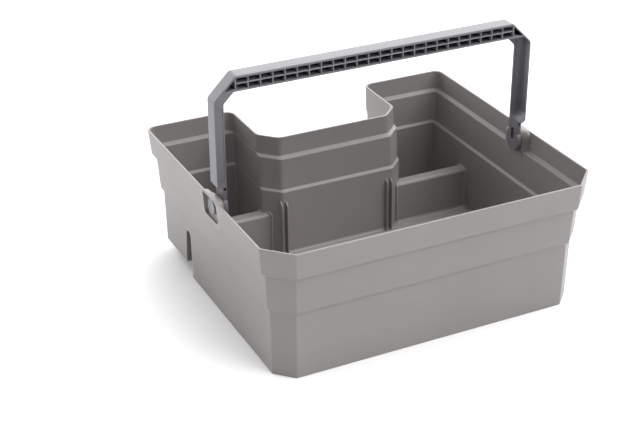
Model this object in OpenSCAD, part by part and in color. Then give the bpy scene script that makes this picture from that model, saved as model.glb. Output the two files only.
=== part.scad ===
// Open carry caddy with a U-shaped tub and a swinging bail handle.
// X runs across the tub, +Y points to the two rear wings, +Z is up and the tub stands on Z = 0.

/* [Tub] */
// Width over the rim
tub_w = 390; // [340:1:440]
// Depth over the rim, front to back
tub_d = 346; // [310:1:400]
// Height of the rim above the ground
tub_h = 153.5; // [140:0.5:180]
// Thickness of the walls
wall = 2.5; // [2:0.1:3]
// Leg of the 45 degree chamfer on the two front corners, at the rim
front_chamfer = 27.5; // [20:0.5:40]
// Radius of the rear corners, at the rim
rear_corner_r = 11; // [6:0.5:18]

/* [Bands of the walls] */
// Height of the lower edge of the rim band
rim_band_z = 124.2; // [116:0.1:128]
// Height of the lower edge of the middle band
mid_band_z = 80.7; // [70:0.1:90]
// Drop of each slanted step between two bands
step_drop = 4.5; // [2:0.1:8]
// Inward draft of the rim band and of the middle band
band_draft = 2.6; // [1:0.1:4]
// Inward step under the rim band
rim_step = 4.6; // [3:0.1:6]
// Inward step under the middle band
mid_step = 3.2; // [2:0.1:5]
// Height of the upper inner ledge
upper_ledge_z = 130.5; // [127:0.1:134]
// Height of the lower inner ledge
lower_ledge_z = 91; // [85:0.5:100]

/* [Floors] */
// Height of the front compartment's floor
front_floor_z = 11; // [6:0.5:20]
// Height of the underside of the two rear wings
wing_base_z = 13; // [8:0.5:20]

/* [Rear notch] */
// Width of the notch between the wings, at the rim
notch_w = 173; // [120:1:220]
// Distance of the notch's front wall behind the tub's centre, at the rim
notch_y = 80.5; // [60:0.5:90]
// Leg of the 45 degree chamfer on the notch's inner corners
notch_chamfer = 18.3; // [12:0.1:28]

/* [Wing dividers] */
// Front face of the divider, behind the tub's centre
divider_y = 75; // [72:0.5:78]
// Depth of the divider at the wing floor
divider_base_d = 25; // [20:0.5:30]
// Depth of the divider at its top
divider_top_d = 17; // [12:0.5:20]
// Height of the divider's top
divider_z = 61; // [50:1:70]
// Radius of the divider's two top edges
divider_r = 7; // [3:0.5:8]

/* [Divider guides] */
// Distance of the left guide slots from the tub's centre line
guide_left_x = 71; // [40:0.5:71]
// Distance of the right guide slots from the tub's centre line
guide_right_x = 65.5; // [40:0.5:71]
// Clear width of a guide slot
guide_gap = 4.6; // [3:0.1:6]
// Thickness of a guide rib
guide_rib = 1.6; // [1.2:0.1:2.4]
// Projection of a guide rib from the wall
guide_depth = 5; // [3:0.5:7]
// Height of the front end of a rib's slanted top
guide_z = 74; // [60:0.5:76]

/* [Pivots] */
// Distance of the pivot axis in front of the tub's centre
pivot_y = -20.6; // [-30:0.1:0]
// Height of the pivot axis
pivot_z = 141.5; // [140:0.1:143]
// Radius of the pivot stud
stud_r = 8.9; // [6:0.1:10]
// Running clearance between the stud and its bore, on the radius
stud_clear = 0.06; // [0.02:0.01:0.1]
// Reach of the pivot pad in front of the axis
pad_front = 20.5; // [19:0.5:20.5]
// Reach of the pivot pad behind the axis
pad_rear = 23.5; // [22:0.5:25]
// Distance of the pad's inner face from the tub's centre line
pad_x = 184; // [182:0.5:185]
// Radius of the pad's front top corner, which the swinging leg passes
pad_corner_r = 9; // [6:0.5:10]
// Reach of the outer pocket in front of the axis
pocket_front = 15.7; // [13:0.1:17]
// Reach of the outer pocket behind the axis
pocket_rear = 21.2; // [14:0.1:21.5]
// Height of the pocket's lower edge
pocket_z = 124.6; // [124.4:0.1:128]
// Depth of the pocket
pocket_depth = 6; // [4:0.1:7]

/* [Handle] */
// Width over the two legs
handle_w = 379; // [374:0.5:381]
// Height of the grip's top above the pivot axis
handle_reach = 144.8; // [120:0.1:146]
// Height of the grip bar
grip_h = 16.9; // [14:0.1:24]
// Depth of the grip bar and the legs
grip_d = 18.6; // [14:0.1:24]
// Thickness of a leg
leg_t = 10.7; // [8:0.1:14]
// Leg of the handle's 45 degree corner chamfers
handle_chamfer = 24.4; // [18:0.1:30]
// Thickness of the plate that reaches down to the pivot
plate_t = 4.9; // [3:0.1:5]
// Radius of the plate's round end
plate_r = 14; // [11:0.5:15]
// Number of pockets along the grip
pocket_count = 24; // [12:1:30]
// Depth of the grip's pockets
pocket_cut = 14; // [8:0.5:16]
// Thickness of the ribs between the pockets
pocket_rib = 1.5; // [1.2:0.1:2.5]

/* [Hidden] */
$fn = 64;

hw = tub_w / 2;
hd = tub_d / 2;
miter = sqrt(2) - 1;          // shift of a 45 degree vertex along its edge for an inset of 1
arc_steps = 4;                // straight pieces in each rounded corner of the loft

// Inset from the rim outline and height, from the base up, of the outer and the inner skin.
skin_out = [
    [band_draft * 2 + rim_step + mid_step + 1.3, 0],
    [band_draft * 2 + rim_step + mid_step - 0.2, mid_band_z - step_drop],
    [band_draft * 2 + rim_step, mid_band_z],
    [band_draft + rim_step, rim_band_z - step_drop],
    [band_draft, rim_band_z],
    [0, tub_h]];
skin_in = [
    [skin_out[0][0] + wall, 0],
    [skin_out[1][0] + wall, lower_ledge_z],
    [skin_out[2][0] + wall - 0.4, lower_ledge_z + 0.1],
    [skin_out[3][0] + wall, upper_ledge_z],
    [skin_out[4][0] + wall - 0.3, upper_ledge_z + 0.1],
    [wall, tub_h + 1]];

// Inset of a skin at height z.
function inset_at(skin, z) = lookup(z, [for (s = skin) [s[1], s[0]]]);

// Points of a rounded corner: centre, radius and first angle, turning by 90 degrees one way or the other.
function corner(c, r, a0, turn) =
    [for (i = [0:arc_steps]) let (a = a0 + turn * 90 * i / arc_steps) [c[0] + r * cos(a), c[1] + r * sin(a)]];

// The U-shaped rim outline moved inward by t, counter-clockwise seen from above. Of the inset, w is
// wall thickness; the notch's two side walls take that in full but hardly follow the steps.
function outline(t, w = 0) =
    let (r = max(rear_corner_r - t * 0.55, 3), m = miter * t, x = hw - t, y = hd - t, f = notch_y - t,
         n = notch_w / 2 + w + 0.1 * (t - w), s = notch_w / 2 - notch_chamfer + miter * w + 0.22 * (t - w))
    concat(
        [[-hw + front_chamfer + m, -y], [hw - front_chamfer - m, -y], [x, -hd + front_chamfer + m]],
        corner([x - r, y - r], r, 0, 1),
        corner([n + r, y - r], r, 90, 1),
        [[n, f + n - s], [s, f], [-s, f], [-n, f + n - s]],
        corner([-n - r, y - r], r, 0, 1),
        corner([-x + r, y - r], r, 90, 1),
        [[-x, -hd + front_chamfer + m]]);

// Solid between outlines at the given [inset, height] levels. Each end is closed by five convex
// faces: the two wings, the middle and the two stretches that join them.
module loft(levels, w = 0) {
    n = len(outline(0));
    k = len(levels);
    arc = arc_steps + 1;
    cr = 3 + 2 * arc;           // first notch vertex on the right, after the two right corners
    cl = cr + 3;                // last notch vertex on the left
    points = [for (l = levels) for (p = outline(l[0], w)) [p[0], p[1], l[1]]];
    sides = [for (j = [0:k - 2]) for (i = [0:n - 1]) let (a = i, b = (i + 1) % n)
        [j * n + a, (j + 1) * n + a, (j + 1) * n + b, j * n + b]];
    top = [
        [for (i = [cr:-1:2]) i],
        [cr + 1, cr, 2, 1],
        [cr + 2, cr + 1, 1, 0],
        [cl, cr + 2, 0, n - 1],
        [for (i = [n - 1:-1:cl]) i]];
    ends = [for (f = top) [for (v = f) (k - 1) * n + v], for (f = top) [for (i = [len(f) - 1:-1:0]) f[i]]];
    polyhedron(points, concat(sides, ends), convexity = 10);
}

// Part of a skin between two heights, as loft levels.
function levels_between(skin, z0, z1) = concat(
    [[inset_at(skin, z0), z0]],
    [for (s = skin) if (s[1] > z0 + 0.01 && s[1] < z1 - 0.01) s],
    [[inset_at(skin, z1), z1]]);

module slab(y0, y1, z0, z1) { translate([-tub_w, y0, z0]) cube([2 * tub_w, y1 - y0, z1 - z0]); }

// Extrudes a profile drawn in Y and Z along X, from x0 to x1.
module along_x(x0, x1) { translate([x0, 0, 0]) rotate([90, 0, 90]) linear_extrude(x1 - x0) children(); }

// Divider profile in Y and Z, moved inward by t: an upright with round top edges.
module divider_profile(t, foot_z) {
    y0 = divider_y + t;
    y1 = divider_y + divider_base_d - t;
    y2 = divider_y + divider_top_d - t;
    z1 = divider_z - t;
    r = divider_r - t;
    union() {
        polygon([[y0, foot_z], [y1, foot_z], [y2, z1 - r], [y0, z1 - r]]);
        translate([y0 + r, z1 - r]) circle(r);
        translate([y2 - r, z1 - r]) circle(r);
        translate([y0 + r, z1 - r - 0.5]) square([y2 - y0 - 2 * r, r + 0.5]);
    }
}

module divider_tunnel(side) {
    x0 = notch_w / 2 - 10;
    mirror([side < 0 ? 1 : 0, 0, 0]) along_x(x0, hw + 5) divider_profile(2.3, -5);
}

// Cavity of the tub: wings above their floor, and the front compartment down to its own floor.
module cavity() {
    loft(levels_between(skin_in, wing_base_z + wall, tub_h + 1), wall);
    intersection() {
        loft(levels_between(skin_in, front_floor_z, wing_base_z + wall + 0.5), wall);
        slab(-hd, divider_y, 0, tub_h);
    }
}

// Pocket in the outer face, seen along X: upright, with large round corners below.
module pocket_outline() {
    y0 = pivot_y - pocket_front;
    y1 = pivot_y + pocket_rear;
    z1 = tub_h - 2.4;
    translate([y0, pocket_z + 8]) square([y1 - y0, z1 - 3 - pocket_z - 8]);
    translate([y0 + 8, pocket_z]) square([y1 - y0 - 13, z1 - pocket_z]);
    translate([y0 + 3, z1 - 4]) square([y1 - y0 - 5, 4 - 0.9]);
    translate([y0 + 3, z1 - 3]) circle(3);
    translate([y1 - 2, z1 - 2]) circle(2);
    translate([y0 + 8, pocket_z + 8]) circle(8);
    translate([y1 - 5, pocket_z + 5]) circle(5);
    translate([y0 + 3, z1 - 3]) square([y1 - y0 - 5, 3]);
    translate([y1 - 6, pocket_z + 5]) square([6, 8]);
}

module pivot_pocket(side) {
    mirror([side < 0 ? 1 : 0, 0, 0]) along_x(hw - pocket_depth, hw + 5) pocket_outline();
}

module tub_shell() color("#a6a3a0") {
    difference() {
        loft(skin_out);
        cavity();
        // raised underside of the wings
        slab(divider_y + 2.3, hd + 5, -5, wing_base_z);
        // recess under the front floor, inside a standing skirt
        intersection() {
            loft([[skin_in[0][0], -5], [skin_in[0][0], front_floor_z - wall]], wall);
            slab(-hd, divider_y, -6, front_floor_z);
        }
        for (side = [-1, 1]) { divider_tunnel(side); pivot_pocket(side); }
    }
}

module wing_divider(side) {
    difference() {
        intersection() {
            mirror([side < 0 ? 1 : 0, 0, 0]) along_x(notch_w / 2 - 12, hw) divider_profile(0, front_floor_z);
            cavity();
        }
        divider_tunnel(side);
    }
}
module left_wing_divider() color("#8f9aa3") wing_divider(-1);
module right_wing_divider() color("#8f9aa3") wing_divider(1);

// A pair of ribs on the notch's front wall, with slanted tops that lead a divider plate in.
module rear_guide(side) {
    foot = notch_y - inset_at(skin_in, front_floor_z);
    head_z = guide_z + guide_depth;
    head = notch_y - inset_at(skin_in, head_z);
    for (s = [-1, 1]) {
        x = (side < 0 ? -guide_left_x : guide_right_x) + s * (guide_gap + guide_rib) / 2;
        along_x(x - guide_rib / 2, x + guide_rib / 2)
            polygon([[foot, front_floor_z], [head, head_z], [head - guide_depth, guide_z], [head - guide_depth, front_floor_z]]);
    }
}
module rear_left_guide() color("#7fa0a8") rear_guide(-1);
module rear_right_guide() color("#7fa0a8") rear_guide(1);

// The matching pair of ribs on the inside of the front wall.
module front_guide(side) {
    foot = -hd + inset_at(skin_in, front_floor_z);
    head_z = guide_z + guide_depth;
    head = -hd + inset_at(skin_in, head_z);
    for (s = [-1, 1]) {
        x = (side < 0 ? -guide_left_x : guide_right_x) + s * (guide_gap + guide_rib) / 2;
        along_x(x - guide_rib / 2, x + guide_rib / 2)
            polygon([[foot, front_floor_z], [head, head_z], [head + guide_depth, guide_z], [head + guide_depth, front_floor_z]]);
    }
}
module front_left_guide() color("#7fa0a8") front_guide(-1);
module front_right_guide() color("#7fa0a8") front_guide(1);

// Thick pad on the inside of the rim band, standing on the upper ledge. A true bore carries the stud.
module pivot_pad(side) {
    z0 = upper_ledge_z;
    y0 = pivot_y - pad_front;
    y1 = pivot_y + pad_rear;
    mirror([side < 0 ? 1 : 0, 0, 0]) difference() {
        intersection() {
            translate([0, y1, 0]) rotate([90, 0, 0]) linear_extrude(y1 - y0)
                polygon([[pad_x, z0], [hw - skin_in[3][0], z0], [hw - skin_in[4][0], z0 + 0.1],
                         [hw - inset_at(skin_in, tub_h), tub_h], [pad_x, tub_h]]);
            along_x(pad_x - 1, hw + 1) union() {
                translate([y0 + pad_corner_r, z0]) square([y1 - y0 - pad_corner_r, tub_h - z0]);
                translate([y0, z0]) square([pad_corner_r, tub_h - z0 - pad_corner_r]);
                translate([y0 + pad_corner_r, tub_h - pad_corner_r]) circle(pad_corner_r);
            }
        }
        pivot_pocket(1);
        translate([pad_x - 1, pivot_y, pivot_z]) rotate([0, 90, 0]) cylinder(r = stud_r + stud_clear, h = 12);
    }
}
module left_pivot_pad() color("#b9aa8c") pivot_pad(-1);
module right_pivot_pad() color("#b9aa8c") pivot_pad(1);

hx = handle_w / 2;
grip_top = pivot_z + handle_reach;
leg_in = hx - leg_t;
joint_z = grip_top - handle_chamfer - 4;     // level where the legs meet the grip bar
straight = hx - handle_chamfer;              // half length of the straight grip
plate_x = pad_x - 0.3 - plate_t;             // inner face of the leg's plate

// Grip bar with its two slanted corners, cut by two rows of pockets that open to the front.
module grip_bar() color("#5d6066") {
    inner = straight + 2.4;
    span = 2 * straight;
    pitch = span / pocket_count;
    cell_h = (grip_h - 2 * 2.4 - 1.5) / 2;
    difference() {
        translate([0, pivot_y + grip_d / 2, 0]) rotate([90, 0, 0]) linear_extrude(grip_d)
            polygon([[-hx, joint_z], [-hx, grip_top - handle_chamfer], [-straight, grip_top], [straight, grip_top],
                     [hx, grip_top - handle_chamfer], [hx, joint_z], [leg_in, joint_z],
                     [leg_in, grip_top - grip_h - (leg_in - inner)], [inner, grip_top - grip_h],
                     [-inner, grip_top - grip_h], [-leg_in, grip_top - grip_h - (leg_in - inner)], [-leg_in, joint_z]]);
        for (i = [0:pocket_count - 1], row = [0, 1])
            translate([-straight + i * pitch + pocket_rib / 2, pivot_y - grip_d / 2 - 1,
                       grip_top - grip_h + 2.4 + row * (cell_h + 1.5)])
                cube([pitch - pocket_rib, pocket_cut + 1, cell_h]);
        // triangular pocket in each corner
        for (s = [-1, 1]) mirror([s < 0 ? 1 : 0, 0, 0])
            translate([0, pivot_y - grip_d / 2 + pocket_cut, 0]) rotate([90, 0, 0]) linear_extrude(pocket_cut + 1)
                polygon([[straight + pocket_rib / 2, grip_top - 4.2], [straight + 11.5, grip_top - 14.9],
                         [straight + 8.5, grip_top - 16.4], [straight + pocket_rib / 2, grip_top - grip_h + 2.4]]);
    }
}

// Leg: full section above the pad, then a thin plate inside the tub that ends in a disc round the pivot.
module leg(side) {
    shoulder_in = pivot_z + 21.3;
    shoulder_out = pivot_z + 25;
    mirror([side < 0 ? 1 : 0, 0, 0]) difference() {
        union() {
            translate([0, pivot_y + grip_d / 2, 0]) rotate([90, 0, 0]) linear_extrude(grip_d)
                polygon([[leg_in, joint_z], [hx, joint_z], [hx, shoulder_out], [plate_x + plate_t, shoulder_in],
                         [plate_x + plate_t, pivot_z], [plate_x, pivot_z], [plate_x, shoulder_in + 20], [leg_in, shoulder_in + 30]]);
            translate([plate_x, pivot_y, pivot_z]) rotate([0, 90, 0]) cylinder(r = plate_r, h = plate_t);
        }
        // shallow channel in the leg's front face, round at its ends
        translate([0, pivot_y - grip_d / 2 + 2, 0]) rotate([90, 0, 0]) linear_extrude(3) {
            x0 = leg_in + 2.4;
            x1 = hx - 2.2;
            translate([x0, shoulder_out + 8]) square([x1 - x0, joint_z - 6 - shoulder_out - 8]);
            translate([(x0 + x1) / 2, joint_z - 6]) circle((x1 - x0) / 2);
            translate([(x0 + x1) / 2, shoulder_out + 8]) circle((x1 - x0) / 2);
        }
        // short round-ended groove in the inner face, over the pivot
        along_x(plate_x - 1, plate_x + 2.4) {
            translate([pivot_y - 3.2, pivot_z + 2.2]) square([6.4, 8.6]);
            for (z = [2.2, 10.8]) translate([pivot_y, pivot_z + z]) circle(3.2);
        }
    }
}
module left_leg() color("#6b6e74") leg(-1);
module right_leg() color("#6b6e74") leg(1);

// Stud that snaps through the pad's bore, with a small chamfer round its end.
module pivot_stud(side) {
    x0 = plate_x + plate_t;
    x1 = hw - 1.2;
    mirror([side < 0 ? 1 : 0, 0, 0]) translate([x0, pivot_y, pivot_z]) rotate([0, 90, 0]) {
        cylinder(r = stud_r, h = x1 - x0 - 0.8);
        translate([0, 0, x1 - x0 - 0.8]) cylinder(r1 = stud_r, r2 = stud_r - 0.8, h = 0.8);
    }
}
module left_pivot_stud() color("#84878c") pivot_stud(-1);
module right_pivot_stud() color("#84878c") pivot_stud(1);

tub_shell();
left_wing_divider();
right_wing_divider();
rear_left_guide();
rear_right_guide();
front_left_guide();
front_right_guide();
left_pivot_pad();
right_pivot_pad();
grip_bar();
left_leg();
right_leg();
left_pivot_stud();
right_pivot_stud();
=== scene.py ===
import math

import bmesh
import bpy
import numpy as np
from mathutils import Matrix, Vector


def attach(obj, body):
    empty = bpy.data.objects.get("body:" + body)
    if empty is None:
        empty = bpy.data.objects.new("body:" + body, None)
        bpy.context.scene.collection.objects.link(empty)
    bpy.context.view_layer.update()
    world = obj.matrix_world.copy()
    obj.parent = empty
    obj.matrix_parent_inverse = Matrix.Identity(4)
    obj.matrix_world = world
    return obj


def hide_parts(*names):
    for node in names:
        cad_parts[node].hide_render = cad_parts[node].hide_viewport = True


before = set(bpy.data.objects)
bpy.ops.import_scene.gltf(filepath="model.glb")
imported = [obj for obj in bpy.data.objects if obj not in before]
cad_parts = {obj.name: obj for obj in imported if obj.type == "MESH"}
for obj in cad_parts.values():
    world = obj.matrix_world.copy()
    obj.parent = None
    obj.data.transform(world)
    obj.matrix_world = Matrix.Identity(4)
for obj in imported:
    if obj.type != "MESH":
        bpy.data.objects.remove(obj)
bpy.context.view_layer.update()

# ---------------------------------------------------------------- sizes, in millimetres

# the tub's outside: half width, half depth and rim height, and the thickness of its walls
HALF_W, HALF_D, RIM_Z = 195.0, 173.0, 153.5
WALL = 2.5
# chamfer of the front corners and radius of the rear ones
FRONT_CHAMFER, REAR_R = 27.5, 11.0
# the notch between the wings: half width, depth of its front wall, chamfer of its corners
NOTCH_HALF, NOTCH_Y, NOTCH_CHAMFER = 86.5, 80.5, 18.3
# top of the front floor, lower edge of the wings' raised bases, round between floor and wall
FLOOR_Z, WING_Z, FILLET_R = 11.0, 13.0, 4.0
# outer skin as inset and height: top of the lower band, foot and top of the middle band, foot of
# the rim band; inner skin in the same way, from the rim down
OUT_LOW, OUT_MID_FOOT, OUT_MID_TOP, OUT_RIM = (12.8, 76.2), (9.8, 80.7), (7.2, 119.7), (2.6, 124.2)
IN_RIM, IN_MID_TOP, IN_MID_FOOT, IN_LOW = (4.7, 131.6), (9.6, 129.6), (11.9, 92.2), (15.2, 90.2)
# insets of both skins at the ground, round of the rim's edges, height of the seam in the profile
OUT_FOOT, IN_FOOT, RIM_R, SEAM_Z = 14.3, 16.8, 0.9, 62.0
# wing divider: front face, top, thickness of its walls and depth of its top
DIVIDER_Y, DIVIDER_Z, DIVIDER_WALL, DIVIDER_DEEP = 75.0, 61.0, 2.3, 17.0
# the tunnel under a divider: round of its top, ceiling, front and rear, start of the rear slope
TUNNEL_R, TUNNEL_TOP = 4.7, DIVIDER_Z - DIVIDER_WALL
TUNNEL_FRONT, TUNNEL_REAR = DIVIDER_Y + DIVIDER_WALL, 94.31
SLOPE_Y = DIVIDER_Y + DIVIDER_DEEP - DIVIDER_WALL
# the tunnel's rear slope falls over this run of depth to this far below the ground
SLOPE_RUN, SLOPE_BELOW = 8.0, 5.0
# heights at which the wall's caps beside a tunnel start, on its front side and on its wing side
CAP_FRONT_Z, CAP_WING_Z = 54.0, 20.0
# guide ribs: slot between a pair, a rib's thickness, nose and reach, start and top of its slant
SLOT, RIB_T, RIB_NOSE, RIB_REACH, RIB_SLANT_Z, RIB_TOP_Z = 4.6, 1.6, 0.7, 5.0, 74.0, 79.3
LEFT_SLOT_X, RIGHT_SLOT_X = -71.0, 65.5
# the handle's pivot axis in Y and Z, and the radii of the studs and of their bores
PIVOT_Y, PIVOT_Z = -20.6, 141.5
STUD_R, BORE_R = 8.9, 8.96
# recess round a stud: reach before and behind the pivot, foot, top, distance of its floor
RECESS_FRONT, RECESS_REAR, RECESS_FOOT_Z, RECESS_TOP_Z, RECESS_X = 15.7, 21.2, 124.9, RIM_Z - 1.6, 189.02
# pivot pad: reach before and behind the pivot, foot, top, distance of its inner face
PAD_FRONT, PAD_REAR, PAD_FOOT_Z, PAD_TOP_Z, PAD_X = 18.2, 23.4, 121.5, RIM_Z - 0.15, 184.0
# reach of the pad's inner face before and behind the pivot
FACE_FRONT, FACE_REAR = 12.6, 21.8
# outer end of the pad's root: its distance at this height, and how far it leans out above it
ROOT_X, ROOT_FOOT_Z, ROOT_LEAN, ROOT_LEAN_H = 192.3, 129.4, 0.6, 24.0
# handle: half width, inside of its legs, top of the grip, height and depth of the bar, edge round
HANDLE_HALF, LEG_IN, GRIP_TOP, GRIP_H, GRIP_D, BAR_R = 189.5, 178.8, 286.3, 16.9, 18.6, 0.9
# width of its 45 degree corners, and x + z on the inner edge of the left and of the right one
CORNER, LEFT_INNER_SUM, RIGHT_INNER_SUM = 24.4, 436.9, 432.4
# lower ends of the legs' outer and inner edges
LEG_FOOT_OUT, LEG_FOOT_IN = 166.4, 160.5
STRAIGHT = HANDLE_HALF - CORNER
FRONT_Y = PIVOT_Y - GRIP_D / 2
# the grip's trough: cells in a row, wall round it, depth of its cutters, thickness of its ribs
CELLS, TROUGH_WALL, TROUGH_DEEP, TROUGH_RIB = 24, 2.2, 14.0, 1.5
# leg plate: thickness, half height and half width of its oval disc, top of its stem above the pivot
PLATE_T, PLATE_R, PLATE_HALF, STEM_TOP = 4.9, 14.0, 12.0, 23.0
# the plate's groove: half width, foot and top from the pivot, depth
GROOVE_HALF, GROOVE_FOOT, GROOVE_TOP, GROOVE_DEEP = 3.2, -1.0, 14.0, 2.4

# share of an inset by which a 45 degree corner moves along its edge: the tangent of 22.5 degrees
MITER = math.sqrt(2) - 1
PIVOT = np.array([PIVOT_Y, PIVOT_Z])


# ---------------------------------------------------------------- mesh helpers

def closed_mesh(name, points, faces, merge=None):
    """A closed mesh in metres from points in millimetres, its faces turned outwards. Where merge
    is given, points within that many metres become one and faces without area go."""
    mesh = bpy.data.meshes.new(name)
    mesh.from_pydata((np.asarray(points, dtype=float) * 0.001).tolist(), [], faces)
    clean = bmesh.new()
    clean.from_mesh(mesh)
    if merge:
        bmesh.ops.remove_doubles(clean, verts=clean.verts, dist=merge)
        bmesh.ops.dissolve_degenerate(clean, edges=clean.edges, dist=1e-7)
    bmesh.ops.recalc_face_normals(clean, faces=clean.faces)
    clean.to_mesh(mesh)
    clean.free()
    return mesh


def hard_edges(mesh, degrees):
    """Shades a mesh smooth, but keeps edges steeper than the given angle hard."""
    mesh.shade_smooth()
    mesh.set_sharp_from_angle(angle=math.radians(degrees))


def even_normals(piece):
    """Weights a piece's normals by face area, so that its flat faces stay flat to the light."""
    even = piece.modifiers.new("even normals", "WEIGHTED_NORMAL")
    even.keep_sharp = True


def mesh_piece(name, points, faces, slot_name, body, nodes=(), sharp=38.0, weighted=True):
    """Makes one finished piece from points in millimetres and a face list. It stands at the
    origin, and its edges steeper than `sharp` degrees stay hard."""
    mesh = closed_mesh(name, points, faces, merge=2e-6)
    hard_edges(mesh, sharp)
    piece = bpy.data.objects.new(name, mesh)
    bpy.context.scene.collection.objects.link(piece)
    if weighted:
        even_normals(piece)
    mesh.materials.append(PLASTICS[slot_name])
    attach(piece, body)
    if nodes:
        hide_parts(*nodes)
    return piece


def grid_faces(rows, cols, wrap_rows, wrap_cols):
    """Quads of a rows by cols grid; a wrapped direction joins its last line to its first."""
    i, j = np.meshgrid(np.arange(rows if wrap_rows else rows - 1),
                       np.arange(cols if wrap_cols else cols - 1), indexing="ij")
    k, m = (i + 1) % rows, (j + 1) % cols
    quads = np.stack([i * cols + j, i * cols + m, k * cols + m, k * cols + j], axis=-1)
    return quads.reshape(-1, 4).tolist()


def end_faces(rows, cols):
    """The two faces that fill the first and the last row of a grid."""
    return [list(range(cols)), list(range((rows - 1) * cols, rows * cols))]


def tubes(grids):
    """Points and faces of closed tubes, each given as rows by columns of points."""
    points, faces, start = [], [], 0
    for grid in grids:
        rows, cols = grid.shape[:2]
        points.append(grid.reshape(-1, 3))
        faces += (np.array(grid_faces(rows, cols, False, True)) + start).tolist()
        faces += (np.array(end_faces(rows, cols)) + start).tolist()
        start += rows * cols
    return np.concatenate(points), faces


def grid_piece(name, grid, slot_name, body, nodes=(), wrap=(False, True), caps=True, **options):
    """A piece given as an array of rows by columns of points. wrap says which directions are
    closed; caps fills the first and the last row, so a tube becomes a closed solid."""
    rows, cols = grid.shape[:2]
    faces = grid_faces(rows, cols, *wrap)
    if caps:
        faces += end_faces(rows, cols)
    return mesh_piece(name, grid.reshape(-1, 3), faces, slot_name, body, nodes, **options)


def carve(piece, grid):
    """Takes a closed tube, given as rows by columns of points, out of a piece's mesh with an
    exact Boolean."""
    mesh = closed_mesh("carver", *tubes([grid]))
    carver = bpy.data.objects.new("carver", mesh)
    bpy.context.scene.collection.objects.link(carver)
    cut = piece.modifiers.new("carve", "BOOLEAN")
    cut.operation, cut.solver, cut.object = "DIFFERENCE", "EXACT", carver
    graph = bpy.context.evaluated_depsgraph_get()
    done = bpy.data.meshes.new_from_object(piece.evaluated_get(graph))
    piece.modifiers.remove(cut)
    old, piece.data = piece.data, done
    bpy.data.meshes.remove(old)
    bpy.data.objects.remove(carver)
    bpy.data.meshes.remove(mesh)


def join_tubes(piece, grids):
    """Adds closed tubes to a piece's mesh."""
    bars = closed_mesh("bars", *tubes(grids))
    whole = bmesh.new()
    whole.from_mesh(piece.data)
    whole.from_mesh(bars)
    whole.to_mesh(piece.data)
    whole.free()
    bpy.data.meshes.remove(bars)


def at_x(x, outline):
    """An outline in Y and Z, set at one x."""
    return np.column_stack([np.full(len(outline), x), outline])


def at_y(y, outline):
    """An outline in X and Z, set at one y."""
    return np.column_stack([outline[:, 0], np.full(len(outline), y), outline[:, 1]])


def rounded(corners, radii, steps=4, closed=True):
    """Rounds a polyline: each corner is replaced by the arc of its radius that touches both of
    its edges, the tangent length being radius times tan of half the turn. All corners are worked
    out together."""
    p = np.asarray(corners, dtype=float)
    r = np.broadcast_to(np.asarray(radii, dtype=float), (len(p),))
    before, after = p - np.roll(p, 1, axis=0), np.roll(p, -1, axis=0) - p
    la, lb = np.linalg.norm(before, axis=1), np.linalg.norm(after, axis=1)
    if not closed:
        before[0], after[-1], la[0], lb[-1] = after[0], before[-1], lb[0], la[-1]
    a, b = before / la[:, None], after / lb[:, None]
    turn = np.arctan2(a[:, 0] * b[:, 1] - a[:, 1] * b[:, 0], (a * b).sum(axis=1))
    cut = np.minimum(r * np.tan(np.abs(turn) / 2), 0.48 * np.minimum(la, lb))
    real = cut / np.maximum(np.tan(np.abs(turn) / 2), 1e-9)
    side = np.sign(turn)[:, None]
    left = np.stack([-a[:, 1], a[:, 0]], axis=1)
    centre = p - a * cut[:, None] + side * left * real[:, None]
    u = np.linspace(0, 1, steps + 1)[None, :] * turn[:, None]
    c, s = np.cos(u), np.sin(u)
    arm = -side * left * real[:, None]
    arcs = centre[:, None, :] + np.stack([arm[:, None, 0] * c - arm[:, None, 1] * s,
                                          arm[:, None, 0] * s + arm[:, None, 1] * c], axis=2)
    straight = (np.abs(turn) < 1e-6)[:, None, None]
    arcs = np.where(straight, p[:, None, :], arcs)
    if not closed:
        arcs[0], arcs[-1] = p[0], p[-1]
    flat = arcs.reshape(-1, 2)
    keep = np.ones(len(flat), dtype=bool)
    keep[1:] = np.linalg.norm(np.diff(flat, axis=0), axis=1) > 1e-6
    return flat[keep]


def rays(outlines, centre):
    """Angles round a centre, one through each point of the outlines and one every 5 degrees, and
    the unit vector along each."""
    rel = np.concatenate(outlines) - centre
    even = np.linspace(-math.pi, math.pi, 73)[:-1]
    angles = np.unique(np.round(np.concatenate([np.arctan2(rel[:, 1], rel[:, 0]), even]), 5))
    return angles, np.stack([np.cos(angles), np.sin(angles)], axis=1)


def radial(outline, angles, centre):
    """Distance from centre to a closed outline along each angle: every ray is crossed with every
    edge by solving the two-by-two system, and the nearest crossing ahead is kept."""
    a = outline - np.asarray(centre)
    e = np.roll(a, -1, axis=0) - a
    d = np.stack([np.cos(angles), np.sin(angles)], axis=1)
    det = d[:, None, 1] * e[None, :, 0] - d[:, None, 0] * e[None, :, 1]
    det = np.where(np.abs(det) < 1e-12, 1e-12, det)
    reach = (a[None, :, 1] * e[None, :, 0] - a[None, :, 0] * e[None, :, 1]) / det
    part = (d[:, None, 0] * a[None, :, 1] - d[:, None, 1] * a[None, :, 0]) / det
    ok = (part > -1e-6) & (part < 1 + 1e-6) & (reach > 1e-6)
    return np.where(ok, reach, 1e9).min(axis=1)


def ring_grid(rings, side, centre, ray):
    """Rings round an axis along X: each is a distance from the centre along every ray and an x,
    mirrored to the left for side -1."""
    return np.stack([at_x(side * x, centre + ray * np.asarray(r)[:, None]) for r, x in rings])


# ---------------------------------------------------------------- finishes

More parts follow.
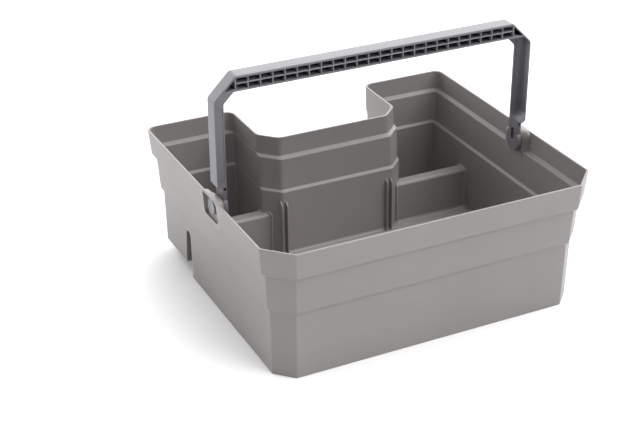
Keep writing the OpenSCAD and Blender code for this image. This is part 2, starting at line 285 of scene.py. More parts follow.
def group_sockets(group, inputs, outputs):
    """Gives a node group its sockets, and returns its input and its output node."""
    for kind, label, value in inputs:
        socket = group.interface.new_socket(label, in_out="INPUT", socket_type=kind)
        socket.default_value = value
    for kind, label in outputs:
        group.interface.new_socket(label, in_out="OUTPUT", socket_type=kind)
    return group.nodes.new("NodeGroupInput"), group.nodes.new("NodeGroupOutput")


def moulded_skin():
    """Node group for injection-moulded plastic: a fine spark-eroded grain as a height, cloudy
    flow marks in the colour, and a roughness that wanders a little with both."""
    group = bpy.data.node_groups.new("moulded skin", "ShaderNodeTree")
    start, end = group_sockets(
        group,
        [("NodeSocketFloat", "Grain Scale", 900.0), ("NodeSocketFloat", "Cloud Scale", 9.0),
         ("NodeSocketFloat", "Roughness", 0.5), ("NodeSocketFloat", "Roughness Spread", 0.08),
         ("NodeSocketColor", "Base", (0.3, 0.3, 0.3, 1)),
         ("NodeSocketColor", "Flow Tint", (0.28, 0.28, 0.28, 1))],
        [("NodeSocketColor", "Color"), ("NodeSocketFloat", "Roughness"), ("NodeSocketFloat", "Height")])
    make, link = group.nodes.new, group.links.new
    place = make("ShaderNodeTexCoord")
    fine = make("ShaderNodeTexNoise")
    fine.inputs["Detail"].default_value = 2.0
    link(place.outputs["Object"], fine.inputs["Vector"])
    link(start.outputs["Grain Scale"], fine.inputs["Scale"])
    cloud = make("ShaderNodeTexNoise")
    cloud.inputs["Detail"].default_value = 3.0
    cloud.inputs["Roughness"].default_value = 0.55
    link(place.outputs["Object"], cloud.inputs["Vector"])
    link(start.outputs["Cloud Scale"], cloud.inputs["Scale"])
    soften = make("ShaderNodeMapRange")
    soften.inputs["From Min"].default_value = 0.35
    soften.inputs["From Max"].default_value = 0.65
    link(cloud.outputs["Fac"], soften.inputs["Value"])
    tint = make("ShaderNodeMix")
    tint.data_type = "RGBA"
    link(soften.outputs["Result"], tint.inputs["Factor"])
    link(start.outputs["Base"], tint.inputs["A"])
    link(start.outputs["Flow Tint"], tint.inputs["B"])
    link(tint.outputs["Result"], end.inputs["Color"])
    both = make("ShaderNodeMath")
    both.operation = "ADD"
    link(fine.outputs["Fac"], both.inputs[0])
    link(cloud.outputs["Fac"], both.inputs[1])
    centred = make("ShaderNodeMath")
    centred.operation = "SUBTRACT"
    centred.inputs[1].default_value = 1.0
    link(both.outputs[0], centred.inputs[0])
    rough = make("ShaderNodeMath")
    rough.operation = "MULTIPLY_ADD"
    link(centred.outputs[0], rough.inputs[0])
    link(start.outputs["Roughness Spread"], rough.inputs[1])
    link(start.outputs["Roughness"], rough.inputs[2])
    link(rough.outputs[0], end.inputs["Roughness"])
    link(fine.outputs["Fac"], end.inputs["Height"])
    return group


def painted_edge_highlight():
    """Node group for a painted highlight on sharp edges: where the surface's curvature (Pointiness) is above
    a threshold, the colour turns paler, painting in the bright highlights that rims and ledges catch."""
    group = bpy.data.node_groups.new("painted edge highlight", "ShaderNodeTree")
    start, end = group_sockets(
        group,
        [("NodeSocketColor", "Color", (0.3, 0.3, 0.3, 1)),
         ("NodeSocketColor", "Edge Color", (0.5, 0.5, 0.5, 1)),
         ("NodeSocketFloat", "Threshold", 0.53), ("NodeSocketFloat", "Amount", 0.5)],
        [("NodeSocketColor", "Color")])
    make, link = group.nodes.new, group.links.new
    shape = make("ShaderNodeNewGeometry")
    edge = make("ShaderNodeMapRange")
    link(shape.outputs["Pointiness"], edge.inputs["Value"])
    link(start.outputs["Threshold"], edge.inputs["From Min"])
    edge.inputs["From Max"].default_value = 0.62
    scaled = make("ShaderNodeMath")
    scaled.operation = "MULTIPLY"
    link(edge.outputs["Result"], scaled.inputs[0])
    link(start.outputs["Amount"], scaled.inputs[1])
    blend = make("ShaderNodeMix")
    blend.data_type = "RGBA"
    link(scaled.outputs[0], blend.inputs["Factor"])
    link(start.outputs["Color"], blend.inputs["A"])
    link(start.outputs["Edge Color"], blend.inputs["B"])
    link(blend.outputs["Result"], end.inputs["Color"])
    return group


# the second group paints a paler highlight on sharp edges
SKIN, EDGE_HIGHLIGHT = moulded_skin(), painted_edge_highlight()


def plastic(name, base, flow, edge, roughness, grain, bump):
    """One moulded plastic: the skin group gives colour, roughness and grain height, the second group paints a
    paler highlight on sharp edges, and the Principled shader takes them."""
    mat = bpy.data.materials.new(name)
    mat.use_nodes = True
    tree = mat.node_tree
    shader = tree.nodes["Principled BSDF"]
    skin = tree.nodes.new("ShaderNodeGroup")
    skin.node_tree = SKIN
    skin.inputs["Grain Scale"].default_value = grain
    skin.inputs["Roughness"].default_value = roughness
    skin.inputs["Base"].default_value = (*base, 1)
    skin.inputs["Flow Tint"].default_value = (*flow, 1)
    # paler colour painted on sharp edges as a highlight
    painted_highlight = tree.nodes.new("ShaderNodeGroup")
    painted_highlight.node_tree = EDGE_HIGHLIGHT
    painted_highlight.inputs["Edge Color"].default_value = (*edge, 1)
    raise_grain = tree.nodes.new("ShaderNodeBump")
    raise_grain.inputs["Strength"].default_value = bump
    raise_grain.inputs["Distance"].default_value = 0.0002
    link = tree.links.new
    link(skin.outputs["Color"], painted_highlight.inputs["Color"])
    link(painted_highlight.outputs["Color"], shader.inputs["Base Color"])
    link(skin.outputs["Roughness"], shader.inputs["Roughness"])
    link(skin.outputs["Height"], raise_grain.inputs["Height"])
    link(raise_grain.outputs["Normal"], shader.inputs["Normal"])
    return mat


# edge is the paler colour painted on sharp edges as a highlight
PLASTICS = {
    "tub_plastic": plastic("tub plastic", base=(0.226, 0.210, 0.208), flow=(0.213, 0.198, 0.196),
                           edge=(0.43, 0.402, 0.397), roughness=0.42, grain=900.0, bump=0.25),
    "handle_plastic": plastic("handle plastic", base=(0.127, 0.125, 0.139), flow=(0.120, 0.118, 0.131),
                              edge=(0.21, 0.208, 0.225), roughness=0.38, grain=1100.0, bump=0.2),
}


# ---------------------------------------------------------------- tub wall

# corner radii of the plan, counter-clockwise from the front left, and the turn at each corner
CORNER_R = np.array([4, 4, 4, REAR_R, REAR_R, 13, 12, 12, 13, REAR_R, REAR_R, 4.0])
TURN = np.radians([45, 45, 45, 90, 90, -45, -45, -45, -45, 90, 90, 45])
# a radius shrinks by this share of the inset, down to a least radius
SHRINK = np.where(TURN < 0, 0.5, np.where(CORNER_R > 5, 0.55, 0.3))
LEAST_R = np.where(TURN < 0, 5.0, 2.5)
# shares of the wall's steps that the notch's side walls and its chamfered corners take
SIDE_STEP, CORNER_STEP = 0.1, 0.22
# shares of the notch's diagonal and side walls at which front, tunnel and wing meet
DIAGONAL_MEET, SIDE_MEET = 0.26, 0.956


def ring_corners(t, w, q):
    """The twelve corners of the U outline for arrays of step inset t, wall shift w and fillet
    shift q. Plain walls move in by t + q. The notch's side walls take w and q in full but only a
    tenth of the steps, and the notch front wall moves forward by all of them."""
    m, x, y = MITER * (t + q), HALF_W - t - q, HALF_D - t - q
    f = NOTCH_Y - t - q
    n = NOTCH_HALF + w + SIDE_STEP * (t - w) + q
    s = NOTCH_HALF - NOTCH_CHAMFER + MITER * (w + q) + CORNER_STEP * (t - w)
    front, side = HALF_W - FRONT_CHAMFER - m, -HALF_D + FRONT_CHAMFER + m
    xs = np.stack([-front, front, x, x, n, n, s, -s, -n, -n, -x, -x], axis=-1)
    ys = np.stack([-y, -y, side, y, y, f + n - s, f, f, f + n - s, y, y, side], axis=-1)
    return np.stack([xs, ys], axis=-1)


def tunnel_height(y):
    """Height of the divider tunnel's ceiling at depth y: upright front, round top, sloping rear."""
    front, crest, spring = TUNNEL_FRONT + TUNNEL_R, SLOPE_Y - TUNNEL_R, TUNNEL_TOP - TUNNEL_R
    past = np.where(y < front, front - y, np.where(y > crest, y - crest, 0.0))
    dome = spring + np.sqrt(np.maximum(TUNNEL_R ** 2 - past ** 2, 0))
    slope = spring - (y - SLOPE_Y) * (spring + SLOPE_BELOW) / SLOPE_RUN
    return np.where(y <= SLOPE_Y, dome, slope)


def outer_inset(z):
    """Inset of the lower outer skin at height z."""
    return OUT_FOOT - (OUT_FOOT - OUT_LOW[0]) * np.asarray(z, dtype=float) / OUT_LOW[1]


def inner_inset(z):
    """Inset of the lower inner skin at height z."""
    return IN_FOOT - (IN_FOOT - IN_LOW[0]) * np.asarray(z, dtype=float) / IN_LOW[1]


# both skins above the seam, as insets and heights: the outer one upwards, the inner one downwards
OUTER = rounded([(outer_inset(SEAM_Z), SEAM_Z), OUT_LOW, OUT_MID_FOOT, OUT_MID_TOP, OUT_RIM,
                 (0.0, RIM_Z), (WALL / 2, RIM_Z)], [0, 1.6, 1.4, 1.6, 1.4, RIM_R, 0], closed=False)
INNER = rounded([(WALL / 2, RIM_Z), (WALL, RIM_Z), IN_RIM, IN_MID_TOP, IN_MID_FOOT, IN_LOW,
                 (inner_inset(SEAM_Z), SEAM_Z)], [0, RIM_R, 1.6, 1.7, 1.6, 1.7, 0], closed=False)


def wall_columns():
    """Stations of the plan, counter-clockwise from the front left: (corner, share of its arc or
    -1, share of the edge after it, fixed y). The long side walls have theirs at fixed y. The
    second list says at which stations front, tunnel and wing meet."""
    quarter = math.pi / 2
    tunnel_y = np.concatenate([TUNNEL_FRONT + TUNNEL_R * (1 - np.cos(np.linspace(0.22, 1, 6) * quarter)),
                               SLOPE_Y - TUNNEL_R * (1 - np.sin(np.linspace(0, 1, 6) * quarter)),
                               np.linspace(90.4, 93.6, 3)])
    side = [-125, -95, -60, PIVOT_Y, 20, 50, 68, TUNNEL_FRONT, *tunnel_y, TUNNEL_REAR, 98, 112, 130, 147]
    diagonal = [0.12, DIAGONAL_MEET, 0.5, 0.75]
    notch_side = [0.15, 0.35, 0.55, 0.75, 0.88, SIDE_MEET, 0.985]
    long_edge, short_edge = np.linspace(0, 1, 10)[1:-1], np.linspace(0, 1, 5)[1:-1]
    edges = {0: long_edge, 2: side, 4: notch_side, 5: diagonal, 6: long_edge,
             7: [1 - u for u in diagonal[::-1]], 8: [1 - u for u in notch_side[::-1]], 10: side[::-1]}
    meet_at = (TUNNEL_FRONT, TUNNEL_REAR, DIAGONAL_MEET, SIDE_MEET, 1 - DIAGONAL_MEET, 1 - SIDE_MEET)
    plan, meets = [], []
    for k in range(12):
        plan += [(k, u, 0.0, np.nan) for u in np.linspace(0, 1, 9 if k in (3, 4, 9, 10) else 6)]
        for place in edges.get(k, short_edge):
            if place in meet_at:
                meets.append(len(plan))
            plan.append((k, -1.0, 0.0, place) if k in (2, 10) else (k, -1.0, place, np.nan))
    return np.array(plan, dtype=float), meets


COLUMNS, MEETS = wall_columns()


def on_plan(t, w, q, cols):
    """Plan position for arrays t, w, q of rows by columns: each corner of the outline is rounded
    by the arc that touches both of its edges, and a station lies on an arc or on an edge."""
    v = ring_corners(t, w, q)
    r = np.maximum(CORNER_R - SHRINK * (t + q)[..., None], LEAST_R)
    step = np.roll(v, -1, axis=-2) - v
    ahead = step / np.linalg.norm(step, axis=-1, keepdims=True)
    back = np.roll(ahead, 1, axis=-2)
    cut = r * np.tan(np.abs(TURN) / 2)
    left = np.stack([-back[..., 1], back[..., 0]], axis=-1) * np.sign(TURN)[:, None]
    centre = v + (left * r[..., None]) - back * cut[..., None]
    begin = v + ahead * cut[..., None]
    finish = np.roll(v, -1, axis=-2) - ahead * np.roll(cut, -1, axis=-1)[..., None]
    k = COLUMNS[cols, 0].astype(int)
    share, along, fixed = COLUMNS[cols, 1], COLUMNS[cols, 2], COLUMNS[cols, 3]
    pick = np.arange(len(k))
    arm, mid = -(left * r[..., None])[:, pick, k], centre[:, pick, k]
    a = share * TURN[k]
    arc = mid + np.stack([arm[..., 0] * np.cos(a) - arm[..., 1] * np.sin(a),
                          arm[..., 0] * np.sin(a) + arm[..., 1] * np.cos(a)], axis=-1)
    one, two = begin[:, pick, k], finish[:, pick, k]
    line = one + (two - one) * along[:, None]
    kept = np.stack([one[..., 0], np.broadcast_to(np.nan_to_num(fixed), one.shape[:-1])], axis=-1)
    return np.where((share >= 0)[:, None], arc, np.where(np.isnan(fixed)[:, None], line, kept))


def carried(rows, cols):
    """A profile carried round the given columns: each row is (inset, height, wall shift, fillet
    shift), each a number or one value per column."""
    spread = [[np.broadcast_to(np.asarray(value, dtype=float), len(cols)) for value in row] for row in rows]
    t, z, w, q = np.array(spread).transpose(1, 0, 2)
    return np.concatenate([on_plan(t, w, q, cols), z[..., None]], axis=-1)


def foot_rows(ground, floor, depth):
    """Profile of the wall's foot where it stands on ground: down the outer skin from the seam,
    round the lower edge, under the floor's stub and up the quarter-round to the inner skin.
    depth is the height at which the cap beside a tunnel starts."""
    skirt = floor - WALL > ground + 1
    under = floor - WALL + 0.12
    quarter = np.linspace(math.pi / 2, 0, 7)[1:]
    rows = [(outer_inset(SEAM_Z), SEAM_Z, 0, 0), (outer_inset(depth), depth, 0, 0)]
    if skirt:
        rows += [(outer_inset(z), z, 0, 0) for z in (36.0, 18.0)]
    rows += [(outer_inset(ground + 0.5), ground + 0.5, 0, 0),
             (outer_inset(ground) + 0.15, ground + 0.15, 0, 0), (outer_inset(ground) + 0.5, ground, 0, 0)]
    if skirt:
        rows += [(IN_FOOT - 0.4, ground, WALL, 0), (IN_FOOT, ground + 0.4, WALL, 0),
                 (IN_FOOT, under, WALL, 0)]
    rows += [(inner_inset(under), under, WALL, FILLET_R), (inner_inset(floor), floor, WALL, FILLET_R)]
    rows += [(inner_inset(floor + FILLET_R), floor + FILLET_R * (1 - math.sin(a)), WALL,
              FILLET_R * (1 - math.cos(a))) for a in quarter]
    if skirt:
        rows += [(inner_inset(z), z, WALL, 0) for z in (26.0, 40.0)]
    rows += [(inner_inset(depth), depth, WALL, 0), (inner_inset(SEAM_Z), SEAM_Z, WALL, 0)]
    return rows


def tunnel_rows(cols):
    """Profile of the wall over a divider's tunnel: both skins from the seam to the ceiling, whose
    height is read at an inset within the wall. Both ends reach down to the caps beside them."""
    within = 13.6
    y = carried([(within, SEAM_Z, 0, 0)], cols)[0, :, 1]
    foot = tunnel_height(y)
    foot[0], foot[-1] = (CAP_FRONT_Z, CAP_WING_Z) if y[0] < y[-1] else (CAP_WING_Z, CAP_FRONT_Z)
    foot = np.clip(foot, CAP_WING_Z, TUNNEL_TOP)
    return [(outer_inset(SEAM_Z), SEAM_Z, 0, 0), (outer_inset(foot), foot, 0, 0),
            (inner_inset(foot), foot, WALL, 0), (inner_inset(SEAM_Z), SEAM_Z, WALL, 0)]


def zones():
    """Column runs between the meeting stations: two round the front compartment, the second being
    the notch wall's, four over tunnels and two round the wings."""
    b, n = MEETS, len(COLUMNS)
    return {"front": [np.arange(b[7], b[0] + n + 1) % n, np.arange(b[3], b[4] + 1)],
            "tunnel": [np.arange(b[i], b[i + 1] + 1) for i in (0, 2, 4, 6)],
            "wing": [np.arange(b[1], b[2] + 1), np.arange(b[5], b[6] + 1)]}


def tub_wall():
    """The tub's whole wall as one closed solid. Above a seam height the stepped outer skin, the
    round rim and the stepped inner skin are one profile carried all round the U outline. Below it
    the profile's foot differs: standing skirt in front, raised base under the wings, and over
    each divider tunnel a lower edge that follows the tunnel's ceiling."""
    runs = zones()
    above = [(t, z, min(t, WALL) if z > RIM_Z - RIM_R and t > 0.1 else 0.0, 0) for t, z in OUTER]
    above += [(t, z, min(t, WALL), 0) for t, z in INNER[1:]]
    parts = [(carried(above, np.arange(len(COLUMNS))), True, None)]
    for kind, rows in (("front", foot_rows(0.0, FLOOR_Z, CAP_FRONT_Z)),
                       ("wing", foot_rows(WING_Z, WING_Z + WALL, CAP_WING_Z))):
        parts += [(carried(rows, run), False, (1, len(rows) - 2)) for run in runs[kind]]
    parts += [(carried(tunnel_rows(run), run), False, None) for run in runs["tunnel"]]
    points, faces, start = [], [], 0
    for grid, wrap, cap in parts:
        rows, cols = grid.shape[:2]
        points.append(grid.reshape(-1, 3))
        faces += (np.array(grid_faces(rows, cols, False, wrap)) + start).tolist()
        if cap:
            for col in (0, cols - 1):
                faces.append((start + np.arange(cap[0], cap[1] + 1) * cols + col).tolist())
        start += rows * cols
    wall = mesh_piece("tub_wall", np.concatenate(points), faces, "tub_plastic", "tub", weighted=False)
    cut_recesses(wall)
    even_normals(wall)


# ---------------------------------------------------------------- pivot pads

def pivot_rectangle(front, rear, foot, top, radii, steps):
    """An upright rectangle in Y and Z with round corners. It reaches by front before the pivot and
    by rear behind it."""
    y0, y1 = PIVOT_Y - front, PIVOT_Y + rear
    return rounded([[y0, foot], [y1, foot], [y1, top], [y0, top]], radii, steps)


def pocket_outline(grow=0.0):
    """Outline in Y and Z of the recess round a pivot, widened by grow."""
    return pivot_rectangle(RECESS_FRONT + grow, RECESS_REAR + grow, RECESS_FOOT_Z - grow,
                           RECESS_TOP_Z + grow, [8, 5, 4, 7], 6)


def pad_outline():
    """Outline in Y and Z of the thick pad where it leaves the wall."""
    return pivot_rectangle(PAD_FRONT, PAD_REAR, PAD_FOOT_Z, PAD_TOP_Z, [2.5, 3, 6, 7], 8)


def pad_face(shrink=0.0):
    """Outline in Y and Z of the pad's inner face: its front shoulder is an arc round the pivot,
    which the leg's foot passes, and its top falls towards the rear."""
    y0, y1 = PIVOT_Y - FACE_FRONT + shrink, PIVOT_Y + FACE_REAR - shrink
    foot = PAD_FOOT_Z + shrink
    return rounded([[y0, foot], [y1, foot], [y1, 146.0 - shrink], [PIVOT_Y + 8, 151.0 - shrink],
                    [y0, 153.7 - shrink]], [2, 3, 5, 12, 11.5 - shrink], steps=8)


def cut_recesses(wall):
    """Takes the two pivot recesses out of the wall's rim band: the recess outline carried from
    just inside the recess floor to beyond the wall."""
    outline = pocket_outline()
    for side in (-1, 1):
        carve(wall, np.stack([at_x(side * x, outline) for x in (RECESS_X - 0.02, HALF_W + 5)]))
    hard_edges(wall.data, 38)


def pivot_pad(name, side, node):
    """A pivot pad as rings round the pivot axis: from the bore over the inner face to its round
    edge, down the slanting side that widens towards the wall, along the root at the wall, then
    down the recess's side, over its floor and back through the bore."""
    angles, ray = rays([pad_outline(), pocket_outline(), pad_face()], PIVOT)
    bore = np.full(len(angles), BORE_R)
    full, face, inset, hollow, hollow_in = (radial(line, angles, PIVOT) for line in (
        pad_outline(), pad_face(), pad_face(0.5), pocket_outline(-0.02), pocket_outline(-0.5)))
    # the root is at least 0.5 mm wider than the recess; its foot stands out just below the rim band
    root = np.maximum(full, hollow + 0.5)
    height = PIVOT_Z + root * np.sin(angles) - ROOT_FOOT_Z
    depth = ROOT_X + ROOT_LEAN * np.clip(height / ROOT_LEAN_H, 0, 1)
    rings = [(bore + 0.4, PAD_X), (inset, PAD_X), (face, PAD_X + 0.5),
             (face + 0.35 * (full - face), PAD_X + 2.4), (face + 0.85 * (full - face), PAD_X + 4.9),
             (root, PAD_X + 6.6), (root, depth), (hollow, depth),
             (hollow, RECESS_X + 0.43), (hollow_in, RECESS_X), (bore + 0.3, RECESS_X),
             (bore, RECESS_X - 0.32), (bore, PAD_X + 0.4)]
    grid = ring_grid(rings, side, PIVOT, ray)
    grid_piece(name, grid, "tub_plastic", "tub", (node,), wrap=(True, True), caps=False, sharp=32)


# ---------------------------------------------------------------- floors, dividers and guides

def floor_slab(name, cols, top, limit_y=None):
    """A floor: the wall's plan at an inset hidden inside the wall, as thick as the wall, closed
    by one face above and one below. Where limit_y is given, no point lies before it."""
    grid = carried([(15.9, top - d, WALL, -0.6) for d in (0.0, WALL)], cols)
    if limit_y is not None:
        grid[..., 1] = np.maximum(grid[..., 1], limit_y)
    grid_piece(name, grid, "tub_plastic", "tub", weighted=False)


def notch_wall_x(y, t):
    """x of the notch wall's inner skin at depths y and insets t, one pair per profile point: read
    between the wall's own stations round the notch's right corner."""
    cols = np.arange(MEETS[2] - 3, MEETS[3] + 9)
    shape = np.ones((len(y), len(cols)))
    bend = on_plan(t[:, None] * shape, WALL * shape, 0 * shape, cols)
    k = np.clip((bend[..., 1] > y[:, None]).sum(axis=1) - 1, 0, len(cols) - 2)
    one, two = bend[np.arange(len(k)), k], bend[np.arange(len(k)), k + 1]
    part = np.clip((y - one[:, 1]) / (two[:, 1] - one[:, 1]), 0, 1)
    return one[:, 0] + (two[:, 0] - one[:, 0]) * part


def wing_divider(name, side, node):
    """One wing's divider: a closed profile in Y and Z (upright front, round top, sloping rear,
    quarter-rounds into both floors, and the open tunnel underneath) carried across from the
    notch wall to the side wall. Close to each wall the profile swells outwards by the height of a
    quarter-round at that distance, which flares it into the wall."""
    tuck, flare = 0.06, 3.0
    front, rear = FLOOR_Z - tuck, WING_Z + WALL - tuck
    over = rounded([[70.5, front], [DIVIDER_Y, front], [DIVIDER_Y, DIVIDER_Z], [91.2, DIVIDER_Z],
                    [99.8, rear], [105.0, rear]], [0, 3.5, 4.0, 4.0, 4.0, 0], steps=7, closed=False)
    under = rounded([[105.0, WING_Z + tuck], [95.3, WING_Z + tuck], [89.2, TUNNEL_TOP],
                     [TUNNEL_FRONT, TUNNEL_TOP], [TUNNEL_FRONT, 0.02], [DIVIDER_Y, 0.02],
                     [DIVIDER_Y, FLOOR_Z - 2.4], [70.5, FLOOR_Z - 2.4]],
                    [0, 0.5, 4.6, TUNNEL_R, 0.2, 0.2, 0.3, 0], steps=5, closed=False)
    slope = np.gradient(over, axis=0)
    normal = np.stack([-slope[:, 1], slope[:, 0]], axis=1) / np.linalg.norm(slope, axis=1)[:, None]
    normal = np.concatenate([normal, np.zeros_like(under)])
    y, z = np.concatenate([over, under]).T
    t = inner_inset(np.maximum(z, 12.0))
    near, far = notch_wall_x(y, t), HALF_W - t
    d = flare * np.array([-0.45, 0.0, 0.04, 0.125, 0.27, 0.47, 0.72, 1.0])
    swell = flare - np.sqrt(np.maximum(flare ** 2 - (flare - np.clip(d, 0, flare)) ** 2, 0))
    share = np.linspace(0, 1, 8)[1:-1, None]
    x = np.concatenate([near + d[:, None], near + flare + (far - near - 2 * flare) * share,
                        far - d[::-1, None]])
    rise = np.concatenate([swell, np.zeros(len(share)), swell[::-1]])[:, None]
    grid = np.stack([side * x, y + normal[:, 0] * rise, z + normal[:, 1] * rise], axis=-1)
    grid_piece(name, grid, "tub_plastic", "tub", (node,), sharp=50)


def guide_pair(name, centre_x, facing, node):
    """Two upright ribs with a slot between them. A rib's plan section is half an oval on parallel
    sides; it is carried up the wall, then back along the slanted top into the wall."""
    half, rooted_at = RIB_T / 2, -1.2
    low = np.linspace(FLOOR_Z - 1.5, RIB_SLANT_Z, 12)
    z = np.concatenate([low, np.linspace(RIB_SLANT_Z, RIB_TOP_Z, 6)[1:]])
    out = np.concatenate([np.full(len(low), RIB_REACH), np.linspace(RIB_REACH, -0.6, 6)[1:]])
    angle = np.linspace(0, math.pi, 9)
    across = np.concatenate([[half], half * np.cos(angle), [-half]])
    reach = (out - RIB_NOSE)[:, None] + RIB_NOSE * np.sin(angle)
    reach = np.pad(np.maximum(reach, rooted_at), ((0, 0), (1, 1)), constant_values=rooted_at)
    base = NOTCH_Y - inner_inset(z) if facing < 0 else -HALF_D + inner_inset(z)
    y = base[:, None] + facing * reach
    z = np.broadcast_to(z[:, None], y.shape)
    middles = [centre_x + s * (SLOT + RIB_T) / 2 for s in (-1, 1)]
    ribs = [np.stack([np.broadcast_to(x + across, y.shape), y, z], axis=-1) for x in middles]
    mesh_piece(name, *tubes(ribs), "tub_plastic", "tub", (node,), sharp=50)


# ---------------------------------------------------------------- bail handle

def bail_edges():
    """The bail's outer and inner edge lines in X and Z from the left foot to the right foot, as
    point pairs at the same shares of each straight and each round."""
    def half(inner_sum):
        """The right half's two edge lines, from the foot to the middle of the grip."""
        z = GRIP_TOP - GRIP_H
        outer = rounded([[HANDLE_HALF, LEG_FOOT_OUT], [HANDLE_HALF, GRIP_TOP - CORNER],
                         [STRAIGHT, GRIP_TOP], [0.0, GRIP_TOP]], [0, 8, 5, 0], steps=6, closed=False)
        inner = rounded([[LEG_IN, LEG_FOOT_IN], [LEG_IN, inner_sum - LEG_IN],
                         [inner_sum - z, z], [0.0, z]], [0, 3, 3, 0], steps=6, closed=False)
        low_round, high_round = np.linspace(1, 2, 7), np.linspace(3, 4, 7)
        mark = np.concatenate([[0], low_round, high_round, [5]])
        at = np.concatenate([np.linspace(0, 1, 9)[:-1], low_round, [2.5], high_round,
                             np.linspace(4, 5, 5)[1:]])
        return [np.column_stack([np.interp(at, mark, line[:, k]) for k in (0, 1)]) for line in (outer, inner)]

    mirror = np.array([-1.0, 1.0])
    left, right = half(LEFT_INNER_SUM), half(RIGHT_INNER_SUM)
    return [np.concatenate([one * mirror, two[-2::-1]]) for one, two in zip(left, right)]


def leg_hollow(turned):
    """The hollow along a leg: an upright outline with a slanted top and foot, carried inwards
    through the leg's depth. Near its floor the outline draws in by r - sqrt(r^2 - e^2), e being
    the distance past the start of the round, so that floor and walls meet in a bowl. Turned by
    half a turn about the upright line midway between the pivots it serves the other leg."""
    corners = np.array([[150.0, 166.6], [180.6, 166.6], [187.7, 174.5], [187.7, 261.3], [179.7, 269.3],
                        [150.0, 269.3]])
    r, floor_depth = 6.5, GRIP_D - 2.7
    quarter = np.linspace(0, math.pi / 2, 9)
    depth = np.concatenate([[-3.0, 0.0], floor_depth - r + r * np.sin(quarter)])
    drawn = np.concatenate([[0.0, 0.0], r - r * np.cos(quarter)])
    step = np.roll(corners, -1, axis=0) - corners
    step /= np.linalg.norm(step, axis=1)[:, None]
    inward = np.stack([-step[:, 1], step[:, 0]], axis=1)
    before = np.roll(inward, 1, axis=0)
    mitre = (inward + before) / (1 + (inward * before).sum(axis=1))[:, None]
    grid = np.stack([at_y(FRONT_Y + d, rounded(corners + mitre * e, [1, 4, 6, 4, 2, 1], steps=5))
                     for e, d in zip(drawn, depth)])
    if turned:
        grid = grid * np.array([-1.0, -1.0, 1.0]) + np.array([0.0, 2 * PIVOT_Y, 0.0])
    return grid


def cut_front(piece, outline, deep):
    """Carves an outline in X and Z into the bail's front face, to the given depth."""
    carve(piece, np.stack([at_y(y, outline) for y in (FRONT_Y - 2, FRONT_Y + deep)]))


def grip_bars():
    """The ribs across the grip's trough and the shelf between its two rows of pockets: bars whose
    section is a half-round front edge on parallel sides."""
    half = TROUGH_RIB / 2
    nose = np.linspace(0, math.pi, 6)
    across = np.concatenate([half * np.cos(nose), [-half, half]])
    deep = FRONT_Y + np.concatenate([half - half * np.sin(nose), [15.0, 15.0]])
    ends = (GRIP_TOP - GRIP_H + 0.8, GRIP_TOP - 0.8)
    ribs = [np.stack([np.column_stack([x + across, deep + 0.12, np.full(len(deep), z)]) for z in ends])
            for x in np.linspace(-STRAIGHT, STRAIGHT, CELLS + 1)]
    edge = np.column_stack([deep + 0.2, GRIP_TOP - GRIP_H / 2 + across])
    return ribs + [np.stack([at_x(x, edge) for x in (-STRAIGHT, STRAIGHT)])]


def bail():
    """The bail: a bar with round edges carried up one leg, round the 45 degree corner, along the
    grip and down the other leg. A point of its section is a share of the way from the outer to
    the inner edge and a depth behind the front face. The grip's trough, the two corner pockets,
    the legs' hollows and a shallow channel on the left leg are carved out, then ribs and a shelf
    are set into the trough."""
    out, inn = bail_edges()
    wide = np.linalg.norm(out - inn, axis=1)[:, None]
    arc = np.linspace(0, math.pi / 2, 5)
    near, deep = BAR_R - BAR_R * np.cos(arc), BAR_R - BAR_R * np.sin(arc)
    share = np.concatenate([near / wide, 1 - near[::-1] / wide, 1 - near / wide, near[::-1] / wide], axis=1)
    back = np.concatenate([deep, deep[::-1], GRIP_D - deep, GRIP_D - deep[::-1]])
    xz = out[:, None] + (inn - out)[:, None] * share[..., None]
    grid = np.stack([xz[..., 0], np.broadcast_to(FRONT_Y + back, share.shape), xz[..., 1]], axis=-1)
    piece = grid_piece("bail_grip", grid, "handle_plastic", "handle", ("grip_bar",), weighted=False, sharp=35)
    low, high = GRIP_TOP - GRIP_H + TROUGH_WALL, GRIP_TOP - TROUGH_WALL
    trough = [[-STRAIGHT, low], [STRAIGHT, low], [STRAIGHT, high], [-STRAIGHT, high]]
    cut_front(piece, rounded(trough, 0.4, steps=3), TROUGH_DEEP)
    corner_pocket = rounded([[166.2, 272.6], [178.2, 270.9], [166.2, 283.0]], 0.5, steps=3)
    for side in (-1, 1):
        cut_front(piece, corner_pocket * np.array([side, 1.0]), TROUGH_DEEP)
    for turned in (False, True):
        carve(piece, leg_hollow(turned))
    channel = [[-188.0, 172.0], [-180.3, 172.0], [-180.3, 252.0], [-188.0, 259.0]]
    cut_front(piece, rounded(channel, [3.5, 3.5, 1, 1], steps=6), 0.6)
    join_tubes(piece, grip_bars())
    hard_edges(piece.data, 35)
    even_normals(piece)


